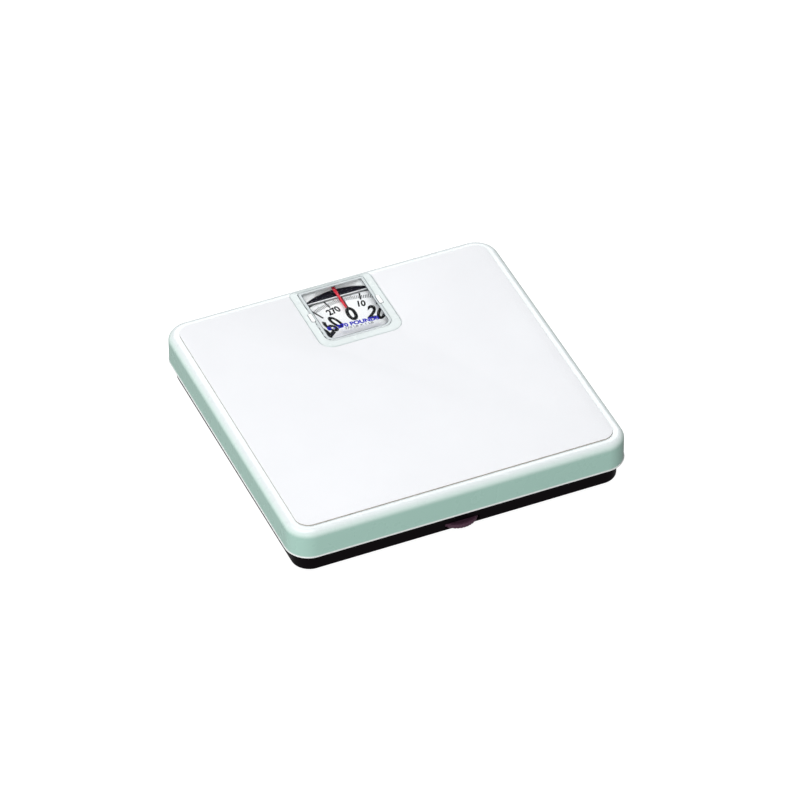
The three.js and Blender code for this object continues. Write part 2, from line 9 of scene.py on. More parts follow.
import bmesh
import bpy
from mathutils import Matrix, Vector


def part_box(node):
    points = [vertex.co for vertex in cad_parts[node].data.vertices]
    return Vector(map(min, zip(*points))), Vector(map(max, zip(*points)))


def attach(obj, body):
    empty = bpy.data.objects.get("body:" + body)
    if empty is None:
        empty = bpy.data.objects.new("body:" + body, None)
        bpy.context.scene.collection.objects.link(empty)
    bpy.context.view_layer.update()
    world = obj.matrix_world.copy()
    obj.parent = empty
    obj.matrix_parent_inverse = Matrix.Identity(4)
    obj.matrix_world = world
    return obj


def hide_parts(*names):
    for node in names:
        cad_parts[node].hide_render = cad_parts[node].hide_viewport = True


MM = 0.001

# The camera, as it stands to the object: degrees, and millimetres for the shifts of its aim.
CAMERA = {
    "azimuth": -23.06,
    "elevation": 40.81,
    "roll": -0.49,
    "distance": 4900.0,
    "lens": 266.3,
    "aim_right": 4.83,
    "aim_up": 4.41,
    "aim_z": 23.3,
}

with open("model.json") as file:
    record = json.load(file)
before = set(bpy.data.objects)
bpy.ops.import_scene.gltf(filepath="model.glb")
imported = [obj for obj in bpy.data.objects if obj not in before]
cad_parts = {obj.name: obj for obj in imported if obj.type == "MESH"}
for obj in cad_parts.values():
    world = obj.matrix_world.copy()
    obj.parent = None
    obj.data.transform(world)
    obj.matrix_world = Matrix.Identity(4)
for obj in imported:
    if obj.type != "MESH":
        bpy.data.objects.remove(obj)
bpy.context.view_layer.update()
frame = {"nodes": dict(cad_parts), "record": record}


def box_mm(node):
    """A node's lowest and highest corners, in millimetres."""
    low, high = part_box(node)
    return Vector(low) / MM, Vector(high) / MM


# ------------------------------------------------------------------ outlines and meshes


def panel(x0, x1, y0, y1, front, back, steps=12):
    """The points of a rectangle whose corners are round, anticlockwise from the right rear."""
    corners = (
        (x1 - back, y1 - back, back, 0),
        (x0 + back, y1 - back, back, 90),
        (x0 + front, y0 + front, front, 180),
        (x1 - front, y0 + front, front, 270),
    )
    points = []
    for cx, cy, radius, start in corners:
        for i in range(steps + 1):
            angle = math.radians(start + 90 * i / steps)
            points.append((cx + radius * math.cos(angle), cy + radius * math.sin(angle)))
    return points


def inset_panel(low, high, inset, radius, steps=12):
    """A panel that lies the given distance inside a box's plan."""
    radius = max(radius - inset, 0.5)
    return panel(
        low.x + inset, high.x - inset, low.y + inset, high.y - inset, radius, radius, steps
    )


def circle(x, y, radius, steps=64):
    turn = 2 * math.pi / steps
    return [(x + radius * math.cos(i * turn), y + radius * math.sin(i * turn)) for i in range(steps)]


def at_height(points, z):
    """Flat (x, y) points as (x, y, z) ones."""
    return [(x, y, z) for x, y in points]


def make_mesh(name, vertices, faces, sharp=35):
    """An object in the scene, from millimetres, smooth but for edges sharper than the angle."""
    mesh = bpy.data.meshes.new(name)
    mesh.from_pydata([[c * MM for c in v] for v in vertices], [], faces)
    piece = bpy.data.objects.new(name, mesh)
    bpy.context.collection.objects.link(piece)
    return tidy_mesh(piece, sharp)


def tidy_mesh(piece, sharp=35):
    """Welds doubled points, turns the faces outward, and shades smooth below the sharp angle."""
    work = bmesh.new()
    work.from_mesh(piece.data)
    bmesh.ops.remove_doubles(work, verts=work.verts, dist=1e-7)
    bmesh.ops.recalc_face_normals(work, faces=work.faces)
    work.to_mesh(piece.data)
    work.free()
    piece.data.shade_smooth()
    piece.data.set_sharp_from_angle(angle=math.radians(sharp))
    return piece


def loft(name, rings, ends=True, sharp=35):
    """Joins rings of equal length into a skin. With ends, the first and last ring are filled;
    without, the last ring joins the first, which makes a closed tube."""
    count = len(rings[0])
    vertices = [v for ring in rings for v in ring]
    faces = []
    spans = len(rings) - (1 if ends else 0)
    for i in range(spans):
        a = i * count
        b = ((i + 1) % len(rings)) * count
        for k in range(count):
            n = (k + 1) % count
            faces.append((a + k, a + n, b + n, b + k))
    if ends:
        faces.append(tuple(range(count))[::-1])
        faces.append(tuple(range((len(rings) - 1) * count, len(rings) * count)))
    return make_mesh(name, vertices, faces, sharp)


def arc(cx, cy, radius, start, end, steps):
    """Points round a centre, in degrees, both ends included."""
    out = []
    for i in range(steps + 1):
        angle = math.radians(start + (end - start) * i / steps)
        out.append((cx + radius * math.cos(angle), cy + radius * math.sin(angle)))
    return out


def apply_modifiers(piece):
    """Replaces a piece's mesh with what its modifiers make of it."""
    graph = bpy.context.evaluated_depsgraph_get()
    mesh = bpy.data.meshes.new_from_object(piece.evaluated_get(graph))
    piece.modifiers.clear()
    piece.data = mesh
    return piece


def carve(piece, cutter):
    """Takes one piece out of another, and removes it."""
    change = piece.modifiers.new("carve", "BOOLEAN")
    change.operation = "DIFFERENCE"
    change.solver = "EXACT"
    change.object = cutter
    apply_modifiers(piece)
    bpy.data.objects.remove(cutter)
    return piece


def round_edges(piece, width, segments=3, angle=30):
    """Bevels the edges that are sharper than the angle."""
    bevel = piece.modifiers.new("edges", "BEVEL")
    bevel.width = width * MM
    bevel.segments = segments
    bevel.limit_method = "ANGLE"
    bevel.angle_limit = math.radians(angle)
    bevel.use_clamp_overlap = True
    return apply_modifiers(piece)


def prism(name, outline, z0, z1, edge=0.0, segments=3):
    """A flat plate with its rims rounded."""
    piece = loft(name, [at_height(outline, z0), at_height(outline, z1)])
    if edge:
        round_edges(piece, edge, segments)
    return tidy_mesh(piece)


def turned(name, profile, x, y, steps=96):
    """A solid of revolution about a vertical axis, from (radius, z) pairs."""
    rings = [at_height(circle(x, y, max(radius, 0.01), steps), z) for radius, z in profile]
    return loft(name, rings)


def merge(name, pieces):
    """One object out of several."""
    work = bmesh.new()
    for piece in pieces:
        work.from_mesh(piece.data)
        bpy.data.objects.remove(piece)
    mesh = bpy.data.meshes.new(name)
    work.to_mesh(mesh)
    work.free()
    joined = bpy.data.objects.new(name, mesh)
    bpy.context.collection.objects.link(joined)
    return joined


def fine_copy(node, name, edge, angle=28):
    """The CAD node's solid as a new piece with its edges broken, as tumbled or moulded parts are."""
    mesh = frame["nodes"][node].data.copy()
    piece = bpy.data.objects.new(name, mesh)
    bpy.context.collection.objects.link(piece)
    mesh.materials.clear()
    work = bmesh.new()
    work.from_mesh(mesh)
    bmesh.ops.remove_doubles(work, verts=work.verts, dist=1e-6)
    bmesh.ops.dissolve_limit(
        work, angle_limit=math.radians(1), verts=work.verts, edges=work.edges
    )
    work.to_mesh(mesh)
    work.free()
    round_edges(piece, edge, 2, angle)
    return tidy_mesh(piece)


# ------------------------------------------------------------------ materials


class Nodes:
    """A material's node tree, written as one call for each node."""

    def __init__(self, name):
        self.material = bpy.data.materials.new(name)
        self.material.use_nodes = True
        self.tree = self.material.node_tree
        self.shader = self.tree.nodes["Principled BSDF"]
        self.place = self.node("ShaderNodeTexCoord").outputs["Object"]

    def node(self, kind, **settings):
        made = self.tree.nodes.new(kind)
        for key, value in settings.items():
            setattr(made, key, value)
        return made

    def link(self, source, target):
        self.tree.links.new(source, target)

    def set(self, **values):
        for key, value in values.items():
            self.shader.inputs[key.replace("_", " ")].default_value = value

    def stretched(self, scale):
        """The object's coordinates, stretched by a factor for each axis."""
        mapping = self.node("ShaderNodeMapping")
        mapping.inputs["Scale"].default_value = scale
        self.link(self.place, mapping.inputs["Vector"])
        return mapping.outputs["Vector"]

    def grain(self, scale, detail=3.0, roughness=0.5, stretch=(1, 1, 1)):
        texture = self.node("ShaderNodeTexNoise")
        texture.inputs["Scale"].default_value = scale
        texture.inputs["Detail"].default_value = detail
        texture.inputs["Roughness"].default_value = roughness
        self.link(self.stretched(stretch), texture.inputs["Vector"])
        return texture.outputs["Fac"]

    def cells(self, scale, feature="F1"):
        texture = self.node("ShaderNodeTexVoronoi", feature=feature)
        texture.inputs["Scale"].default_value = scale
        self.link(self.place, texture.inputs["Vector"])
        return texture.outputs["Distance"]

    def between(self, factor, low, high, start=0.35, end=0.65):
        """A value that runs from low to high as the factor runs from start to end."""
        remap = self.node("ShaderNodeMapRange")
        remap.inputs["From Min"].default_value = start
        remap.inputs["From Max"].default_value = end
        remap.inputs["To Min"].default_value = low
        remap.inputs["To Max"].default_value = high
        self.link(factor, remap.inputs["Value"])
        return remap.outputs["Result"]

    def colours(self, factor, stops):
        ramp = self.node("ShaderNodeValToRGB")
        ramp.color_ramp.elements[0].position = stops[0][0]
        ramp.color_ramp.elements[0].color = (*stops[0][1], 1)
        ramp.color_ramp.elements[1].position = stops[-1][0]
        ramp.color_ramp.elements[1].color = (*stops[-1][1], 1)
        for position, colour in stops[1:-1]:
            ramp.color_ramp.elements.new(position).color = (*colour, 1)
        self.link(factor, ramp.inputs["Fac"])
        return ramp.outputs["Color"]

    def added(self, first, second, weight):
        """first + weight * second."""
        math_node = self.node("ShaderNodeMath", operation="MULTIPLY_ADD")
        math_node.inputs[1].default_value = weight
        self.link(second, math_node.inputs[0])
        self.link(first, math_node.inputs[2])
        return math_node.outputs["Value"]

    def bump(self, height, strength, distance):
        relief = self.node("ShaderNodeBump")
        relief.inputs["Strength"].default_value = strength
        relief.inputs["Distance"].default_value = distance * MM
        self.link(height, relief.inputs["Height"])
        self.link(relief.outputs["Normal"], self.shader.inputs["Normal"])


def shade(colour, factor):
    """A colour made darker or lighter."""
    return tuple(min(c * factor, 1.0) for c in colour)


def enamel(name, colour, rough=(0.24, 0.32), coat=0.5, peel=0.12, specular=0.5, painted_light_bands=None):
    """Stoved enamel on pressed steel: orange peel, and slow drifts of tint and gloss. Given height bands,
    the colour follows the height instead, which paints light and a highlight into it: (height in
    millimetres, colour) pairs, lowest first."""
    paint = Nodes(name)
    drift = paint.grain(9, 2)
    if painted_light_bands:
        tint = painted_light_tint(paint, drift, painted_light_bands)
    else:
        tint = paint.colours(drift, [(0.3, shade(colour, 0.97)), (0.7, shade(colour, 1.03))])
    paint.link(tint, paint.shader.inputs["Base Color"])
    paint.link(paint.between(paint.grain(60, 3), *rough), paint.shader.inputs["Roughness"])
    orange_peel = paint.added(paint.grain(420, 2), paint.grain(1800, 2), 0.25)
    paint.bump(orange_peel, peel, 0.05)
    paint.set(Coat_Weight=coat, Coat_Roughness=0.12, Specular_IOR_Level=specular)
    return paint.material


def painted_light_tint(paint, drift, painted_light_bands):
    """The height bands' colours by height, which paint light and a highlight onto the piece, a little
    darker where the drift is low.
    """
    place = paint.node("ShaderNodeSeparateXYZ")
    paint.link(paint.place, place.inputs[0])
    low, high = painted_light_bands[0][0], painted_light_bands[-1][0]
    share = paint.between(place.outputs["Z"], 0.0, 1.0, low * MM, high * MM)
    stops = [((z - low) / (high - low), band) for z, band in painted_light_bands]
    clouds = [(0.3, (0.97, 0.97, 0.97)), (0.7, (1, 1, 1))]
    mixed = paint.node("ShaderNodeMixRGB", blend_type="MULTIPLY")
    mixed.inputs["Fac"].default_value = 1.0
    paint.link(paint.colours(share, stops), mixed.inputs["Color1"])
    paint.link(paint.colours(drift, clouds), mixed.inputs["Color2"])
    return mixed.outputs["Color"]


def vinyl(name, colour):
    """A soft mat with a fine pebbled grain."""
    mat = Nodes(name)
    pebbles = mat.cells(1150, "SMOOTH_F1")
    smudge = mat.grain(14, 4)
    tint = [(0.3, shade(colour, 0.975)), (0.7, colour)]
    mat.link(mat.colours(smudge, tint), mat.shader.inputs["Base Color"])
    mat.link(mat.between(mat.grain(90, 3), 0.55, 0.7), mat.shader.inputs["Roughness"])
    mat.bump(mat.added(pebbles, mat.grain(3000, 2), 0.3), 0.35, 0.12)
    mat.set(Specular_IOR_Level=0.35)
    return mat.material


def metal(name, colour, rough=(0.28, 0.42), stretch=(1, 12, 1), spangle=0.0):
    """Rolled or turned metal: fine streaks along one axis, and spangle on plated steel."""
    bright = Nodes(name)
    streaks = bright.grain(160, 4, 0.6, stretch)
    clouds = bright.grain(45, 3)
    mixed = bright.added(clouds, streaks, 0.5)
    tint = [(0.45, shade(colour, 0.86)), (0.75, colour), (0.95, shade(colour, 1.08))]
    bright.link(bright.colours(mixed, tint), bright.shader.inputs["Base Color"])
    bright.link(bright.between(mixed, *rough, 0.5, 1.0), bright.shader.inputs["Roughness"])
    height = bright.added(streaks, bright.cells(260), spangle)
    bright.bump(height, 0.12, 0.03)
    bright.set(Metallic=1.0)
    return bright.material


def plastic(name, colour, rough=(0.4, 0.5), grain=500, depth=0.15, variation=0.04, specular=0.4):
    """Moulded plastic with a fine spark-eroded skin."""
    moulded = Nodes(name)
    drift = moulded.grain(30, 3)
    tint = [(0.3, shade(colour, 1 - variation)), (0.7, shade(colour, 1 + variation))]
    moulded.link(moulded.colours(drift, tint), moulded.shader.inputs["Base Color"])
    moulded.link(moulded.between(moulded.grain(140, 3), *rough), moulded.shader.inputs["Roughness"])
    moulded.bump(moulded.grain(grain, 4), depth, 0.06)
    moulded.set(Specular_IOR_Level=specular)
    return moulded.material


def clear(name):
    """The lens: a thin clear moulding that mirrors more towards its rims, with faint flow marks."""
    lens = Nodes(name)
    flow = lens.grain(40, 2, 0.5, (1, 0.3, 1))
    lens.link(lens.between(flow, 0.02, 0.06), lens.shader.inputs["Roughness"])
    gloss = [(0.3, GLOSS_TINT), (0.7, shade(GLOSS_TINT, 1.2))]
    lens.link(lens.colours(flow, gloss), lens.shader.inputs["Base Color"])
    lens.bump(flow, 0.02, 0.05)
    window = lens.node("ShaderNodeBsdfTransparent")
    tint = [(0.3, (0.985, 0.992, 0.995)), (0.7, (0.995, 0.998, 1.0))]
    lens.link(lens.colours(flow, tint), window.inputs["Color"])
    slant = lens.node("ShaderNodeLayerWeight")
    slant.inputs["Blend"].default_value = 0.5
    mix = lens.node("ShaderNodeMixShader")
    lens.link(lens.between(slant.outputs["Facing"], 0.006, 0.35, 0.3, 1.0), mix.inputs[0])
    lens.link(window.outputs["BSDF"], mix.inputs[1])
    lens.link(lens.shader.outputs["BSDF"], mix.inputs[2])
    lens.link(mix.outputs["Shader"], lens.tree.nodes["Material Output"].inputs["Surface"])
    return lens.material


GLOSS_TINT = (0.04, 0.045, 0.05)  # the lens's colour where it mirrors
MINT = (0.56, 0.87, 0.76)
MINT_ROUND_PAINTED_LIGHT = (0.77, 0.93, 0.88)
MINT_TOP_PAINTED_LIGHT = (0.75, 0.80, 0.81)
MINT_HEM_PAINTED_HIGHLIGHT = (0.95, 0.98, 0.97)
# The cover's colour by height above the floor: a painted highlight at the foot's lip, the mint enamel on
# the wall, and painted light that makes it paler again over the round to the top.
COVER_PAINTED_LIGHT_BANDS = (
    (22.0, MINT_HEM_PAINTED_HIGHLIGHT),
    (23.1, MINT_HEM_PAINTED_HIGHLIGHT),
    (23.7, MINT),
    (42.0, MINT),
    (45.6, MINT_ROUND_PAINTED_LIGHT),
    (48.0, MINT_TOP_PAINTED_LIGHT),
)
MATERIALS = {
    # the cover's mint, with painted light over the round and top and a painted highlight at the lip, laid
    # on by height
    "mint": enamel("mint_enamel_with_painted_light", MINT, painted_light_bands=COVER_PAINTED_LIGHT_BANDS),
    "frame": enamel("window_frame_enamel", (0.55, 0.61, 0.61), rough=(0.2, 0.3)),
    "mat": vinyl("white_vinyl_mat", (0.79, 0.80, 0.825)),
    "mat_edge": plastic("mat_cut_edge", (0.50, 0.45, 0.38), rough=(0.7, 0.8)),
    "black": enamel(
        "black_enamel_paint", (0.006, 0.004, 0.0055), rough=(0.18, 0.26), coat=0.0, specular=0.06
    ),
    "zinc": metal("zinc_plated_steel", (0.66, 0.67, 0.68), spangle=0.35),
    "spring": metal("spring_steel", (0.42, 0.43, 0.45), rough=(0.18, 0.3), stretch=(6, 6, 1)),
    "brass": metal("turned_brass", (0.78, 0.56, 0.24), rough=(0.2, 0.34), stretch=(1, 1, 8)),
    "lens": clear("clear_lens_plastic"),
    "dial": plastic("dial_white_print", (0.965, 0.98, 1.0), rough=(0.45, 0.55), grain=900, depth=0.05),
    "ink": plastic("black_dial_ink", (0.006, 0.006, 0.007), rough=(0.5, 0.6), grain=1500, specular=0.1),
    "tick": plastic("grey_tick_ink", (0.05, 0.05, 0.055), rough=(0.5, 0.6), grain=1500, specular=0.1),
    "blue": plastic("blue_unit_ink", (0.012, 0.012, 0.42), rough=(0.5, 0.6), grain=1500, specular=0.1),
    "grey_ink": plastic("grey_note_ink", (0.16, 0.17, 0.19), rough=(0.5, 0.6), grain=1500, specular=0.1),
    "mask": plastic("light_grey_mask", (0.98, 1.0, 1.0), rough=(0.5, 0.6)),
    "plate": plastic("black_pointer_plate", (0.005, 0.004, 0.010), rough=(0.5, 0.6), specular=0.08),
    # painted shade at the lens's edge: the grey band, and below it the dark line inside the band, which
    # also makes the painted shadow round the lens's clips
    "border": plastic("lens_border_painted_shade", (0.55, 0.60, 0.61), rough=(0.3, 0.4)),
    "rim": plastic("dark_painted_edge_shade", (0.13, 0.15, 0.17), rough=(0.5, 0.6), specular=0.2),
    "white_line": plastic("white_plate_edge", (0.85, 0.86, 0.88), rough=(0.4, 0.5)),
    "red": plastic("red_pointer_plastic", (0.68, 0.012, 0.035), rough=(0.3, 0.4)),
    "wheel": plastic("plum_brown_wheel", (0.115, 0.05, 0.085), rough=(0.35, 0.5), grain=800),
    "rubber": plastic("black_foot_rubber", (0.022, 0.022, 0.022), rough=(0.75, 0.9), grain=700, depth=0.3),
}


def finish_piece(piece, finish, body, slot, *replaced):
    """Gives a piece its material and body, and hides the CAD nodes that it stands for. The slot is not
    used.
    """
    piece.data.materials.clear()
    piece.data.materials.append(MATERIALS[finish])
    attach(piece, body)
    if replaced:
        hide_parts(*replaced)
    return piece


# ------------------------------------------------------------------ platform cover


def wall_profile(height, edge, sheet, hem, flare, curl):
    """The cover's section from the inside of its top to the outside, as (inset, z) pairs. The
    wall stands in by the flare, and its foot curls out again in an arc to a rounded lip."""
    inner = edge - sheet
    turn = math.degrees(math.acos(1 - flare / curl))
    lip_front = 0.55
    curl_top = lip_front + curl * math.sin(math.radians(turn))
    outer_top = [(flare + edge - x, height - edge + y) for x, y in arc(0, 0, edge, 0, 90, 12)]
    foot = [(flare - curl + x, curl_top - y) for x, y in arc(0, 0, curl, 0, turn, 8)]
    lip = [(hem, 0.0), (1.0, 0.0), (0.35, 0.06), (0.08, 0.22), (0.0, 0.4)]
    inner_top = [
        (flare + sheet + inner - x, height - sheet - inner + y) for x, y in arc(0, 0, inner, 90, 0, 8)
    ]
    roll = [(flare + sheet, 2.6), (flare + sheet + 0.5, 1.6), (hem - 0.8, 1.25), (hem, 0.95)]
    return inner_top + roll + lip + foot[::-1] + outer_top


COVER = {"corner": 21.0, "edge": 6.0, "sheet": 1.0, "hem": 4.0, "flare": 0.65, "curl": 1.3}
LIP_OUT = 0.1  # how far the foot of the cover's wall stands out past the plain wall
WINDOW_GAP = 2.0  # between the lens and the opening in the cover


def build_cover():
    """The pressed cover: one steel skin with a rolled foot, and an opening for the window."""
    low, high = box_mm("platform_cover")
    profile = wall_profile(
        high.z - low.z, COVER["edge"], COVER["sheet"], COVER["hem"], COVER["flare"], COVER["curl"]
    )
    rings = []
    for inset, z in profile:
        outline = inset_panel(low, high, inset - LIP_OUT, COVER["corner"], 16)
        rings.append(at_height(outline, low.z + z))
    cover = loft("cover_shell", rings, sharp=40)
    lens_low, lens_high = box_mm("window_lens")
    window = panel(
        lens_low.x - WINDOW_GAP,
        lens_high.x + WINDOW_GAP,
        lens_low.y - WINDOW_GAP,
        lens_high.y + WINDOW_GAP,
        LENS_CORNERS[0] + WINDOW_GAP,
        LENS_CORNERS[1] + WINDOW_GAP,
    )
    carve(cover, prism("window_cutter", window, low.z + 5, high.z + 5))
    tidy_mesh(cover, 40)
    return finish_piece(cover, "mint", "platform", "mint_enamel", "platform_cover")


MAT_CORNER = 12.0
NOTCH_CORNERS = (12.0, 1.0)  # front and rear, where the rear ones lie past the mat's edge
NOTCH_GAP = 0.35  # between the mat's notch and the window frame


def build_mat():
    """The mat, with a notch for the window. Its outer sides show the darker backing."""
    low, high = box_mm("platform_mat")
    cover_top = box_mm("platform_cover")[1].z
    flange_low, flange_high = box_mm("window_frame")
    outline = inset_panel(low, high, 0.0, MAT_CORNER, 16)
    mat = prism("mat_sheet", outline, cover_top + 0.03, high.z)
    x0, x1 = flange_low.x - NOTCH_GAP, flange_high.x + NOTCH_GAP
    notch = panel(x0, x1, flange_low.y - NOTCH_GAP, high.y + 20, *NOTCH_CORNERS)
    carve(mat, prism("notch_cutter", notch, low.z - 3, high.z + 3))
    round_edges(mat, 0.3, 3, 50)
    tidy_mesh(mat, 50)
    finish_piece(mat, "mat", "platform", "white_vinyl", "platform_mat")
    mat.data.materials.append(MATERIALS["mat_edge"])
    beside_window = flange_high.x * 1.3 * MM
    for face in mat.data.polygons:
        outside = abs(face.center.x) > beside_window or face.center.y < 0
        upright = abs(face.normal.z) < 0.3
        face.material_index = 1 if outside and upright else 0
    return mat


# ------------------------------------------------------------------ window

LENS_CORNERS = (7.7, 1.7)  # the lens's corner radii, front and rear
OPENING_CORNERS = (8.0, 2.3)  # the same for the opening that the frame leaves for it
FLANGE_CORNERS = (11.5, 4.0)
FRAME_WALL = 1.4 / 6.9  # the frame's wall as a share of the way to the flange's rim


def window_ring(share, z, lens, flange, steps=14):
    """A ring between the window's opening, share 0, and the rim of its flange, share 1."""

    def mix(a, b):
        return a + (b - a) * share

    (lens_low, lens_high), (flange_low, flange_high) = lens, flange
    points = panel(
        mix(lens_low.x, flange_low.x),
        mix(lens_high.x, flange_high.x),
        mix(lens_low.y, flange_low.y),
        mix(lens_high.y, flange_high.y),
        mix(OPENING_CORNERS[0], FLANGE_CORNERS[0]),
        mix(OPENING_CORNERS[1], FLANGE_CORNERS[1]),
        steps,
    )
    return at_height(points, z)


def build_window_frame():
    """The bezel: a wall down the opening and a flange that slopes away over the cover."""
    flange = box_mm("window_frame")
    lens_low, lens_high = box_mm("window_lens")
    clear_gap = Vector((0.3, 0.3, 0))
    lens = (lens_low - clear_gap, lens_high + clear_gap)
    bottom, top = flange[0].z, flange[1].z
    section = [
        (0.0, bottom),
        (0.0, top - 0.55),
        (0.02, top - 0.25),
        (0.06, top - 0.06),
        (0.11, top),
        (0.16, top - 0.04),
        (0.30, top - 0.14),
        (0.60, top - 0.22),
        (0.86, top - 0.28),
        (0.94, top - 0.36),
        (0.985, top - 0.55),
        (1.0, top - 0.8),
        (1.0, top - 0.95),
        (FRAME_WALL, top - 0.95),
        (FRAME_WALL, bottom),
    ]
    rings = [window_ring(share, z, lens, flange) for share, z in section]
    piece = loft("window_bezel", rings, ends=False, sharp=45)
    return finish_piece(piece, "frame", "platform", "mint_enamel", "window_frame")


LENS_RIM = 0.8  # the radius of the lens's rounded rim
TAB = {"out": 1.0, "half": 1.6, "front": 97.0, "rear": 107.5, "corner": 1.1}  # a clip at its side
BORDER = {"side": 2.3, "front": 1.5, "rear": 2.1, "corner": 6.2}  # the grey band of painted shade round it
BORDER_LINE = 0.5  # the width of the dark line of painted shade inside the band


def inset_lens(low, high, inset):
    """The lens's outline, the given distance further in."""
    front, rear = max(LENS_CORNERS[0] - inset, 0.8), max(LENS_CORNERS[1] - inset, 0.4)
    return panel(low.x + inset, high.x - inset, low.y + inset, high.y - inset, front, rear, 12)


def build_lens():
    """A crowned clear lens with a rounded rim."""
    low, high = box_mm("window_lens")
    rings = []
    for inset, z in [(0.5, low.z), (0.1, low.z + 0.3), (0.0, low.z + 0.7)]:
        rings.append(at_height(inset_lens(low, high, inset), z))
    for x, y in arc(0, 0, LENS_RIM, 0, 80, 6):
        rings.append(at_height(inset_lens(low, high, LENS_RIM - x), high.z - LENS_RIM + y))
    for inset, rise in [(2.5, 0.02), (6.0, 0.1), (12.0, 0.16), (20.0, 0.2)]:
        rings.append(at_height(inset_lens(low, high, inset), high.z + rise))
    lens = loft("lens", rings, sharp=60)
    finish_piece(lens, "lens", "platform", "clear_lens", "window_lens")


def build_lens_tabs():
    """A small clip on each side of the lens, on a dark rim of painted shadow that shows round it."""
    top = box_mm("window_lens")[1]
    clips, shadow_rims = [], []
    for side in (-1, 1):
        x = side * (top.x + TAB["out"])
        outlines = []
        for grow, corner in ((0.0, TAB["corner"]), (0.5, TAB["corner"] + 0.4)):
            half = TAB["half"] + grow
            front, rear = TAB["front"] - grow, TAB["rear"] + grow
            outlines.append(panel(x - half, x + half, front, rear, corner, corner, 5))
        clips.append(prism("tab", outlines[0], top.z + 0.2, top.z + 0.8, 0.2, 3))
        # a dark piece a little larger than the clip: painted shadow round it
        shadow_rims.append(prism("tab_shadow_rim", outlines[1], top.z + 0.05, top.z + 0.25, 0.05, 2))
    finish_piece(merge("lens_tabs", clips), "mask", "platform", "clear_lens")
    finish_piece(merge("lens_tab_painted_shadows", shadow_rims), "rim", "platform", "clear_lens")


def flat_band(name, outer, inner, z, thick):
    """A thin flat band between two outlines."""
    rings = [
        at_height(outer, z),
        at_height(outer, z + thick),
        at_height(inner, z + thick),
        at_height(inner, z),
    ]
    return loft(name, rings, ends=False, sharp=60)


def build_lens_border():
    """The grey band round the lens, and the dark line along its inner edge: painted shade for the
    darkening seen through the lens's rim.
    """
    low, high = box_mm("window_lens")
    outer = inset_lens(low, high, 0.1)
    x0, x1 = low.x + BORDER["side"], high.x - BORDER["side"]
    y0, y1 = low.y + BORDER["front"], high.y - BORDER["rear"]
    corner = BORDER["corner"]
    inner = panel(x0, x1, y0, y1, corner, 1.3, 12)
    x0, x1, y0, y1 = x0 + BORDER_LINE, x1 - BORDER_LINE, y0 + BORDER_LINE, y1 - 0.05
    line = panel(x0, x1, y0, y1, corner - BORDER_LINE, 1.0, 12)
    z = high.z + 0.06
    band = flat_band("lens_border", outer, inner, z, 0.1)
    finish_piece(band, "border", "platform", "clear_lens")
    dark = flat_band("lens_border_line", inner, line, z, 0.13)
    finish_piece(dark, "rim", "platform", "clear_lens")


# ------------------------------------------------------------------ dial mask, plate and pointer

MASK_ARC = {"radius": 57.0, "x": 3.5, "y": 78.5}  # the shelf's arched edge
MASK_SHEET = 0.8
MASK_TAB = {"inset": 1.3, "half": 1.2, "front": 1.0, "rear": 4.5, "corner": 0.5}
SLOPE_LENGTH = 4.5  # the most that a slope reaches forward from the window's rear edge
SLOPE_STEPS = 16


def build_mask():
    """The grey shelf over the rear of the dial, with a tab at each end, and a slope on each side
    of the pointer that leads from the shelf's arched edge up to the window's rear edge."""
    low, high = box_mm("dial_mask")
    radius, centre_x, centre_y = MASK_ARC["radius"], MASK_ARC["x"], MASK_ARC["y"]
    half = high.x - 0.1
    top = low.z + MASK_SHEET
    rise = math.degrees(math.asin((low.y - centre_y) / radius))
    edge = arc(centre_x, centre_y, radius, 180 - rise, rise, 64)
    outline = [(-half, low.y)] + edge + [(half, low.y), (half, high.y), (-half, high.y)]
    mask = prism("mask_shelf", outline, low.z, top, 0.15, 2)
    finish_piece(mask, "mask", "platform", "mask_grey", "dial_mask")
    tabs = []
    for side in (-1, 1):
        x = side * (half - MASK_TAB["inset"])
        x0, x1 = x - MASK_TAB["half"], x + MASK_TAB["half"]
        y0, y1 = low.y + MASK_TAB["front"], high.y - MASK_TAB["rear"]
        outline = panel(x0, x1, y0, y1, MASK_TAB["corner"], MASK_TAB["corner"], 3)
        tabs.append(prism("tab", outline, top, high.z, 0.2, 2))
    finish_piece(merge("mask_tabs", tabs), "mask", "platform", "mask_grey")

    window_low, window_high = box_mm("window_lens")
    pointer_low, pointer_high = box_mm("pointer")
    ridge = window_high.y - 0.15
    spans = (
        (window_low.x + 0.2, pointer_low.x - 0.4),
        (pointer_high.x + 0.4, window_high.x - 0.2),
    )
    slopes = []
    for start, end in spans:
        rings = []
        for i in range(SLOPE_STEPS + 1):
            x = start + (end - start) * i / SLOPE_STEPS
            edge_y = centre_y + math.sqrt(radius**2 - (x - centre_x) ** 2)
            foot = max(edge_y + 0.25, ridge - SLOPE_LENGTH)
            section = [
                (foot, top - 0.3),
                (foot, top + 0.1),
                (ridge, window_low.z - 0.15),
                (ridge, top - 0.3),
            ]
            rings.append([(x, y, z) for y, z in section])
        slopes.append(loft("slope", rings, sharp=50))
    finish_piece(merge("mask_slopes", slopes), "mask", "platform", "mask_grey")


def build_pointer_plate():
    """The black plate under the shelf, with a white line along its front edge."""
    low, high = box_mm("pointer_plate")
    outline = panel(low.x, high.x, low.y, high.y, 0.6, 0.6, 3)
    plate = prism("pointer_plate_sheet", outline, low.z, high.z, 0.12, 2)
    finish_piece(plate, "plate", "platform", "plate_black", "pointer_plate")
    line = panel(low.x + 0.3, high.x - 0.3, low.y - 0.15, low.y + 0.8, 0.1, 0.1, 2)
    edge_line = prism("pointer_plate_line", line, low.z + 0.1, high.z + 0.06)
    finish_piece(edge_line, "white_line", "platform", "mask_grey")


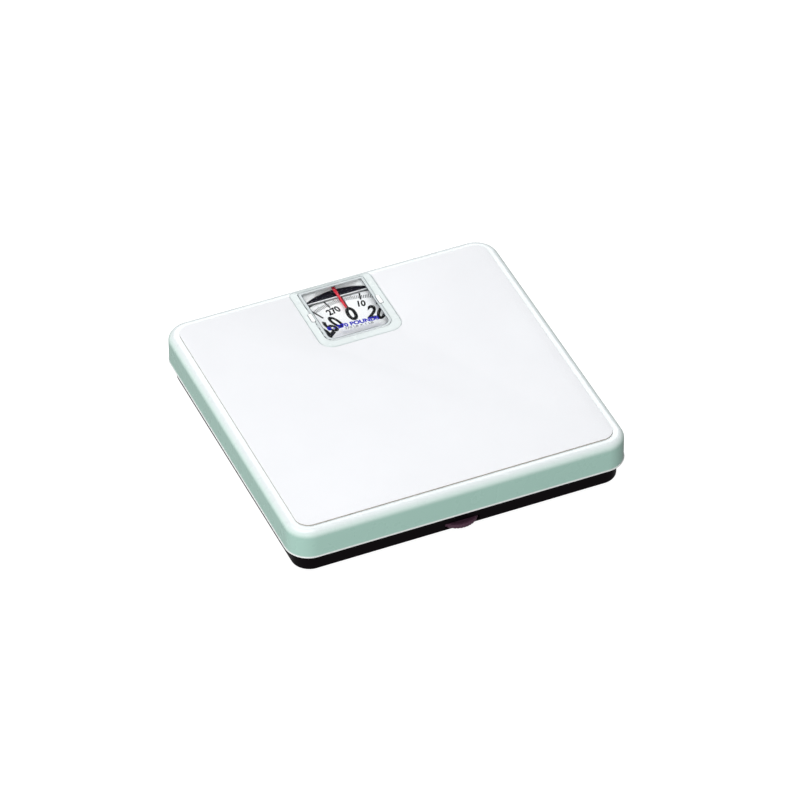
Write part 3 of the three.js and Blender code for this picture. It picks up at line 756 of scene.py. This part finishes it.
# The needle's half width by the share of its length from the tip.
NEEDLE = ((0.0, 0.55), (0.012, 0.95), (0.2, 1.05), (0.55, 1.25), (0.9, 1.55), (1.0, 1.55))


def build_pointer():
    """A flat red needle: a broad tail, a taper and a blunt tip, ridged along its middle."""
    low, high = box_mm("pointer")
    middle = (low.x + high.x) / 2
    length = high.y - low.y
    shoulder = high.z - 0.3
    rings = []
    for share, half in NEEDLE:
        section = [(-half, low.z), (half, low.z), (half, shoulder), (0, high.z), (-half, shoulder)]
        rings.append([(middle + x, low.y + share * length, z) for x, z in section])
    pointer = loft("pointer_needle", rings)
    round_edges(pointer, 0.12, 2, 20)
    return finish_piece(tidy_mesh(pointer), "red", "platform", "pointer_red", "pointer")


# ------------------------------------------------------------------ dial

POUNDS_PER_STEP = 10
STEPS = 28
DIAL_HOLE = 4.3
INK = 0.05  # the thickness of the printing
CAP_SHARE = 0.73  # the height of a capital or a figure as a share of the letter size
SMALL_FIGURES = {"height": 7.4, "width": 0.78, "weight": 0.4, "radius": 57.4}
LARGE_HEIGHT = 17.0
LARGE_WEIGHT = 0.85
# For large numbers of one, two and three digits: the narrowing of the figures, their radius, how
# far the number stands past its graduation and the pitch of its digits, both in degrees.
LARGE_FIGURES = {1: (0.76, 46.6, 0.0, 0.0), 2: (0.67, 45.6, 1.2, 10.4), 3: (0.60, 44.5, -5.5, 9.7)}
REST_TURN = math.radians(1.5)  # how far the dial stands past its zero with nothing on the platform
# Radii of the graduations' two ends, and half their width.
TEN_TICKS = {"large": 55.5, "small": 62.5, "outer": 71.5, "half": 0.7}
POUND_TICKS = {"inner": 64.2, "outer": 68.4, "five": 69.6, "half": 0.3}


def lettering(text, height, width_factor, weight, z):
    """Raised characters, centred on the origin and reading along +x, as a mesh in millimetres.
    The weight makes their strokes bolder all round."""
    curve = bpy.data.curves.new("lettering", "FONT")
    curve.body = text
    curve.align_x = "CENTER"
    curve.align_y = "CENTER"
    curve.size = height / CAP_SHARE
    curve.offset = weight
    curve.extrude = INK / 2
    curve.resolution_u = 6
    letter = bpy.data.objects.new("lettering", curve)
    bpy.context.collection.objects.link(letter)
    graph = bpy.context.evaluated_depsgraph_get()
    graph.update()
    mesh = bpy.data.meshes.new_from_object(letter.evaluated_get(graph))
    bpy.data.objects.remove(letter)
    xs = [v.co.x for v in mesh.vertices]
    ys = [v.co.y for v in mesh.vertices]
    shift = Matrix.Translation((-(min(xs) + max(xs)) / 2, -(min(ys) + max(ys)) / 2, 0))
    stretch = Matrix.Diagonal((width_factor, 1, 1, 1))
    mesh.transform(Matrix.Translation((0, 0, z)) @ stretch @ shift)
    piece = bpy.data.objects.new("lettering", mesh)
    bpy.context.collection.objects.link(piece)
    return piece


def round_dial(centre, angle):
    """The move that takes what is drawn at the top of a dial at the origin to its own place."""
    turn = Matrix.Rotation(-angle - REST_TURN, 4, "Z")
    return Matrix.Translation((centre.x, centre.y, 0)) @ turn


def to_dial(piece, centre, radius, angle):
    """Moves a piece drawn at the origin out to a radius, and round the dial, clockwise from 0."""
    out = Matrix.Translation((0, radius, 0))
    piece.data.transform(round_dial(centre, angle) @ out)
    piece.data.transform(Matrix.Scale(MM, 4))
    return piece


def tick(centre, inner, outer, half, angle, z):
    """One graduation, as vertices and faces."""
    outline = [(-half, inner), (half, inner), (half, outer), (-half, outer)]
    points = [(x, y, z + dz) for dz in (0, INK) for x, y in outline]
    place = round_dial(centre, angle)
    vertices = [place @ Vector(p) for p in points]
    faces = [(3, 2, 1, 0), (4, 5, 6, 7), (0, 1, 5, 4), (1, 2, 6, 5), (2, 3, 7, 6), (3, 0, 4, 7)]
    return vertices, faces


def ticks(name, rows, z, centre):
    """Many graduations as one piece, from (inner, outer, half, angle) rows."""
    vertices, faces = [], []
    for inner, outer, half, angle in rows:
        points, sides = tick(centre, inner, outer, half, angle, z)
        faces += [tuple(len(vertices) + i for i in side) for side in sides]
        vertices += points
    return make_mesh(name, vertices, faces)


def build_dial():
    """The printed disc: large numbers 20 pounds apart with small ones between, and graduations."""
    low, high = box_mm("dial_disc")
    centre = (low + high) / 2
    radius = (high.x - low.x) / 2
    profile = [
        (DIAL_HOLE, low.z),
        (radius - 0.3, low.z),
        (radius, low.z + 0.25),
        (radius, high.z - 0.2),
        (radius - 0.2, high.z),
        (DIAL_HOLE + 0.2, high.z),
        (DIAL_HOLE, high.z - 0.2),
    ]
    rings = [at_height(circle(centre.x, centre.y, r, 192), z) for r, z in profile]
    disc = loft("dial_face", rings, ends=False)
    finish_piece(disc, "dial", "dial", "dial_white", "dial_disc")

    step = 2 * math.pi / STEPS
    top = high.z + 0.01
    numerals = []
    for i in range(STEPS):
        value = str(i * POUNDS_PER_STEP)
        if i % 2:
            small = SMALL_FIGURES
            figure = lettering(
                value, small["height"], small["width"], small["weight"], top + INK / 2
            )
            numerals.append(to_dial(figure, centre, small["radius"], i * step))
            continue
        width, at, lean, pitch = LARGE_FIGURES[len(value)]
        for k, digit in enumerate(value):
            figure = lettering(digit, LARGE_HEIGHT, width, LARGE_WEIGHT, top + INK / 2)
            aside = (k - (len(value) - 1) / 2) * pitch + lean
            numerals.append(to_dial(figure, centre, at, i * step + math.radians(aside)))
    finish_piece(merge("dial_numerals", numerals), "ink", "dial", "dial_white")

    bold = []
    for i in range(STEPS):
        inner = TEN_TICKS["small"] if i % 2 else TEN_TICKS["large"]
        bold.append((inner, TEN_TICKS["outer"], TEN_TICKS["half"], i * step))
    finish_piece(ticks("dial_ten_ticks", bold, top, centre), "ink", "dial", "dial_white")
    fine = []
    for i in range(STEPS * POUNDS_PER_STEP):
        if i % POUNDS_PER_STEP:
            outer = POUND_TICKS["outer"] if i % 5 else POUND_TICKS["five"]
            angle = i * step / POUNDS_PER_STEP
            fine.append((POUND_TICKS["inner"], outer, POUND_TICKS["half"], angle))
    finish_piece(ticks("dial_pound_ticks", fine, top, centre), "tick", "dial", "dial_white")


# The words on the lens: their height, widening and weight, their middle's x and its distance
# from the lens's front edge, and the ink.
UNIT_WORDS = {
    "0 - 270 POUNDS": (4.6, 1.0, 0.3, -1.6, 13.7, "blue"),
    "270 LB X 1 LB": (2.7, 1.15, 0.05, 2.0, 9.2, "grey_ink"),
}
WORDS_TILT = math.radians(-4)


def build_unit_words():
    """The unit and range, printed on the lens in place of the maker's words."""
    low, high = box_mm("window_lens")
    z = high.z + 0.22  # clear of the lens's crown
    tilt = Matrix.Rotation(WORDS_TILT, 4, "Z")
    for body, (height, width, weight, x, y, finish) in UNIT_WORDS.items():
        words = lettering(body, height, width, weight, z)
        words.data.transform(Matrix.Translation((x, low.y + y, 0)) @ tilt)
        words.data.transform(Matrix.Scale(MM, 4))
        finish_piece(words, finish, "platform", "clear_lens")


# ------------------------------------------------------------------ base pan, feet and wheel

# The beads pressed up into the pan's floor: x from and to, y from and to.
BEADS = (
    (-84, -64, -62, 62),
    (64, 84, -62, 62),
    (-50, 50, -48, -36),
    (-50, 50, 8, 20),
    (-50, 50, 96, 108),
)
BEAD_RISE = 1.4
BEAD_SLOPE = 3.0  # the width of a bead's sloping side
PAN = {"corner": 16.0, "edge": 2.2, "sheet": 1.0}
RING_SPACING = 2.5  # between the rings that make the pan's floor
SLOT = {"half": 15.5, "gap": 0.3}  # the slot that the zero wheel stands out of
WHEEL = {"rim": 4.0, "bore": 3.3, "hub": 6.0, "knurls": 40, "depth": 0.7, "dish": 0.6}
TREAD_GROOVES = (4.4, 7.6)  # the inner radii of the rings in a foot's tread
FOOT_ROUND = 1.2


def bead(x, y, x0, x1, y0, y1):
    """How far inside a long pressed bead a point lies, from 0 to 1 over its sloping side."""
    inside = min(x - x0, x1 - x, y - y0, y1 - y)
    share = min(max(inside / BEAD_SLOPE, 0.0), 1.0)
    return share * share * (3 - 2 * share)


def pan_floor(x, y):
    """The rise of the pan's floor above its flat, where beads are pressed into it."""
    return BEAD_RISE * max(bead(x, y, *b) for b in BEADS)


def build_pan():
    """The pressed pan, one skin from the middle of its underside over the rim to the inside."""
    low, high = box_mm("base_pan")
    corner, edge, sheet = PAN["corner"], PAN["edge"], PAN["sheet"]

    def ring(inset, z, pressed=False):
        outline = densify(inset_panel(low, high, inset, corner, 14))
        return [(x, y, z + (pan_floor(x, y) if pressed else 0.0)) for x, y in outline]

    def section(offset, top, rounding):
        """A wall and the round to the floor, as (inset, z) pairs."""
        sides = [(offset, top)]
        for x, y in arc(0, 0, rounding, 180, 270, 10):
            sides.append((offset + rounding + x, low.z + offset + rounding + y))
        return sides

    outer = [(0.35, high.z)] + section(0.0, high.z - 0.35, edge)
    inner = [(sheet - 0.3, high.z)] + section(sheet, high.z - 0.35, edge - sheet)
    reach = min(high.x, high.y) - 6
    count = int((reach - edge) / RING_SPACING)
    insets = [edge + RING_SPACING * i for i in range(1, count)]
    rings = [ring(inset, low.z, True) for inset in reversed(insets)]
    rings += [ring(inset, z) for inset, z in reversed(outer)]
    rings += [ring(inset, z) for inset, z in inner]
    rings += [ring(inset, low.z + sheet, True) for inset in insets]
    pan = loft("pan_shell", rings, sharp=40)
    wheel_top = box_mm("zero_wheel")[1].z
    slot = panel(-SLOT["half"], SLOT["half"], low.y - 1, low.y + 2, 0.3, 0.3, 3)
    slot_low, slot_high = wheel_top - WHEEL["rim"] - SLOT["gap"], wheel_top + SLOT["gap"]
    carve(pan, prism("slot_cutter", slot, slot_low, slot_high))
    tidy_mesh(pan, 40)
    return finish_piece(pan, "black", "base", "black_enamel", "base_pan")


def densify(points, parts_per_side=48):
    """Adds points along the four straight sides of a panel. Every ring gets the same number."""
    out = []
    count = len(points)
    for i, (x0, y0) in enumerate(points):
        x1, y1 = points[(i + 1) % count]
        long_side = (i + 1) % (count // 4) == 0
        parts = parts_per_side if long_side else 1
        for k in range(parts):
            out.append((x0 + (x1 - x0) * k / parts, y0 + (y1 - y0) * k / parts))
    return out


def build_foot(node):
    """A rubber foot with a rounded rim and a grooved tread."""
    low, high = box_mm(node)
    x, y = (low.x + high.x) / 2, (low.y + high.y) / 2
    radius = (high.x - low.x) / 2
    profile = [(0, 0.7), (2.2, 0.7), (2.6, 0.0)]
    for inner in TREAD_GROOVES:
        profile += [(inner, 0.0), (inner + 0.4, 0.6), (inner + 1.2, 0.6), (inner + 1.6, 0.0)]
    profile.append((radius - 1.6, 0.0))
    profile += arc(radius - FOOT_ROUND, FOOT_ROUND, FOOT_ROUND, 285, 380, 8)
    profile += [(radius - 0.6, high.z), (0, high.z)]
    foot = turned(node + "_pad", profile, x, y)
    return finish_piece(foot, "rubber", "base", "foot_rubber", node)


def build_wheel():
    """The zero thumbwheel: a rim of rounded knurls, a dished face and a bored hub."""
    low, high = box_mm("zero_wheel")
    x, y = (low.x + high.x) / 2, (low.y + high.y) / 2
    radius = (high.x - low.x) / 2
    top, bottom = high.z, high.z - WHEEL["rim"]
    bore, hub, depth = WHEEL["bore"], WHEEL["hub"], WHEEL["depth"]
    dish = top - WHEEL["dish"]
    steps = 10 * WHEEL["knurls"]

    def ring(r, z, deep):
        """A circle cut into by the knurls, to the given depth."""
        points = []
        for i in range(steps):
            angle = 2 * math.pi * i / steps
            cut = deep * (0.5 - 0.5 * math.cos(WHEEL["knurls"] * angle)) ** 2
            points.append((x + (r - cut) * math.cos(angle), y + (r - cut) * math.sin(angle), z))
        return points

    section = [
        (bore, low.z, 0),
        (hub - 0.4, low.z, 0),
        (hub, low.z + 0.4, 0),
        (hub, bottom, 0),
        (radius - 1.4, bottom, 0),
        (radius - 0.5, bottom + 0.15, depth / 2),
        (radius, bottom + 0.7, depth),
        (radius, top - 0.7, depth),
        (radius - 0.5, top - 0.15, depth / 2),
        (radius - 1.4, top, 0),
        (radius - 3.2, top, 0),
        (radius - 3.8, dish, 0),
        (hub + 1.4, dish, 0),
        (hub + 0.8, top, 0),
        (bore + 0.3, top, 0),
        (bore, top - 0.3, 0),
    ]
    wheel = loft("thumbwheel", [ring(*row) for row in section], ends=False)
    return finish_piece(wheel, "wheel", "zero_thumbwheel", "wheel_plastic", "zero_wheel")


# ------------------------------------------------------------------ mechanism

SLOT_FINISH = {"zinc_steel": "zinc", "spring_steel": "spring", "brass": "brass"}
# The wound springs: the radius of the wire, the turns and the body that each rides on.
SPRINGS = {
    "main_spring": (1.0, 6, "calibrating_plate"),
    "hold_down_spring_left": (0.5, 14, "base"),
    "hold_down_spring_right": (0.5, 14, "base"),
}
END_TURNS = 0.8  # of a spring's turns, how much lies flat at its two ends together
PIN_EDGE, PART_EDGE = 0.12, 0.2  # the bevels on the pins and on the other metal parts
HAIRSPRING_EDGE = 0.05


def coil(node, wire, turns, body):
    """A spring of round wire, wound between its node's ends."""
    low, high = box_mm(node)
    x, y = (low.x + high.x) / 2, (low.y + high.y) / 2
    radius = (high.x - low.x) / 2 - wire
    steps, sides = turns * 36, 12
    bottom, top = low.z + wire, high.z - wire
    rings = []
    for i in range(steps + 1):
        share = i / steps
        wound = turns * share
        lift = min(max((wound - END_TURNS * 0.5) / (turns - END_TURNS), 0), 1)
        z = bottom + (top - bottom) * lift
        angle = 2 * math.pi * wound
        outward = Vector((math.cos(angle), math.sin(angle), 0))
        centre = Vector((x, y, z)) + outward * radius
        ring = []
        for k in range(sides):
            around = 2 * math.pi * k / sides
            upward = Vector((0, 0, wire * math.sin(around)))
            ring.append(centre + outward * wire * math.cos(around) + upward)
        rings.append([tuple(p) for p in ring])
    spring = loft(node + "_coil", rings, sharp=60)
    return finish_piece(spring, "spring", body, "spring_steel", node)


def body_of_node(node):
    """The name of the moving body that a node belongs to."""
    for body, members in frame["record"]["behaviour"]["bodies"].items():
        if node in members:
            return body
    raise KeyError(node)


def slot_of_node(node):
    """The material slot that the record gives a node."""
    for row in frame["record"]["subparts"]:
        if row["node"] == node:
            return row["material_slot"]
    raise KeyError(node)


def build_mechanism():
    """Every pressed, turned and cut metal part keeps its CAD shape, with its edges broken. The
    coil springs are wound anew."""
    for node in sorted(frame["nodes"]):
        slot = slot_of_node(node)
        if slot not in SLOT_FINISH or node == "hairspring" or node in SPRINGS:
            continue
        piece = fine_copy(node, node + "_finished", PIN_EDGE if "pin" in node else PART_EDGE)
        finish_piece(piece, SLOT_FINISH[slot], body_of_node(node), slot, node)
    for node, (wire, turns, body) in SPRINGS.items():
        coil(node, wire, turns, body)
    hairspring = fine_copy("hairspring", "hairspring_coil", HAIRSPRING_EDGE)
    finish_piece(hairspring, "spring", "base", "spring_steel", "hairspring")


# ------------------------------------------------------------------ stage, lights and camera

FLOOR_HALF = 20000
SKY = {"left": 0.41, "right": 0.19}  # the strength of the light from the two sides
# The lamps: their place, target, width and depth in metres, and their power in watts.
LAMPS = {
    "overhead": ((-0.55, 0.1, 2.4), (0, 0, 0), (2.0, 2.0), 45),
    "back_strip": ((0.9, 2.1, 1.96), (0, 0, 0), (2.2, 1.0), 22),
    "front_left": ((-1.3, -2.0, 1.0), (0, 0, 0.02), (1.6, 1.2), 20),
}


def build_stage():
    """A plain pale floor that glows a little, so that it shows white under a soft light."""
    corners = [(x * FLOOR_HALF, y * FLOOR_HALF, 0) for x, y in ((-1, -1), (1, -1), (1, 1), (-1, 1))]
    floor = make_mesh("floor", corners, [(0, 1, 2, 3)])
    white = Nodes("pale_floor")
    white.set(Base_Color=(0.25, 0.25, 0.25, 1), Roughness=0.9, Specular_IOR_Level=0.0)
    white.set(Emission_Color=(1, 1, 1, 1), Emission_Strength=0.95)
    floor.data.materials.append(white.material)
    floor.visible_diffuse = floor.visible_glossy = False


def area_light(name, place, target, size, power):
    """A rectangular lamp that faces its target."""
    lamp = bpy.data.lights.new(name, "AREA")
    lamp.shape = "RECTANGLE"
    lamp.size, lamp.size_y = size
    lamp.energy = power
    light = bpy.data.objects.new(name, lamp)
    light.location = place
    light.rotation_euler = (Vector(target) - Vector(place)).to_track_quat("-Z", "Y").to_euler()
    bpy.context.collection.objects.link(light)
    return light


def build_lights():
    """A soft white sky, brighter on the left, and three large lamps."""
    world = bpy.data.worlds.new("studio")
    world.use_nodes = True
    background = world.node_tree.nodes["Background"]
    background.inputs["Color"].default_value = (1, 1, 1, 1)
    nodes, links = world.node_tree.nodes, world.node_tree.links
    direction = nodes.new("ShaderNodeTexCoord")
    axes = nodes.new("ShaderNodeSeparateXYZ")
    fall = nodes.new("ShaderNodeMapRange")
    links.new(direction.outputs["Generated"], axes.inputs[0])
    links.new(axes.outputs["X"], fall.inputs["Value"])
    fall.inputs["From Min"].default_value = -1
    fall.inputs["From Max"].default_value = 1
    fall.inputs["To Min"].default_value = SKY["left"]
    fall.inputs["To Max"].default_value = SKY["right"]
    links.new(fall.outputs["Result"], background.inputs["Strength"])
    bpy.context.scene.world = world
    for name, row in LAMPS.items():
        lamp = area_light(name, *row)
        lamp.visible_glossy = name != "front_left"  # it would burn out the mat seen from behind
    bpy.context.scene.view_settings.view_transform = "Standard"


def build_camera():
    """A long lens, placed round the object as it was for the photograph."""
    azimuth, elevation, roll = (math.radians(CAMERA[k]) for k in ("azimuth", "elevation", "roll"))
    back = Vector(
        (
            math.sin(azimuth) * math.cos(elevation),
            -math.cos(azimuth) * math.cos(elevation),
            math.sin(elevation),
        )
    )
    level = Vector((math.cos(azimuth), math.sin(azimuth), 0))
    upright = back.cross(level)
    right = math.cos(roll) * level + math.sin(roll) * upright
    up = back.cross(right)
    aim = Vector((0, 0, CAMERA["aim_z"])) + right * CAMERA["aim_right"] + up * CAMERA["aim_up"]
    lens = bpy.data.cameras.new("camera")
    lens.lens = CAMERA["lens"]
    lens.sensor_width = 36
    lens.clip_end = 100
    camera = bpy.data.objects.new("camera", lens)
    camera.location = (aim + back * CAMERA["distance"]) * MM
    camera.rotation_mode = "QUATERNION"
    camera.rotation_quaternion = Matrix((right, up, back)).transposed().to_quaternion()
    bpy.context.collection.objects.link(camera)
    bpy.context.scene.camera = camera


build_camera()
build_cover()
build_mat()
build_window_frame()
build_lens()
build_lens_tabs()
build_lens_border()
build_mask()
build_pointer_plate()
build_pointer()
build_dial()
build_unit_words()
build_pan()
for node_name in sorted(n for n in frame["nodes"] if n.startswith("foot_")):
    build_foot(node_name)
build_wheel()
build_mechanism()
build_stage()
build_lights()
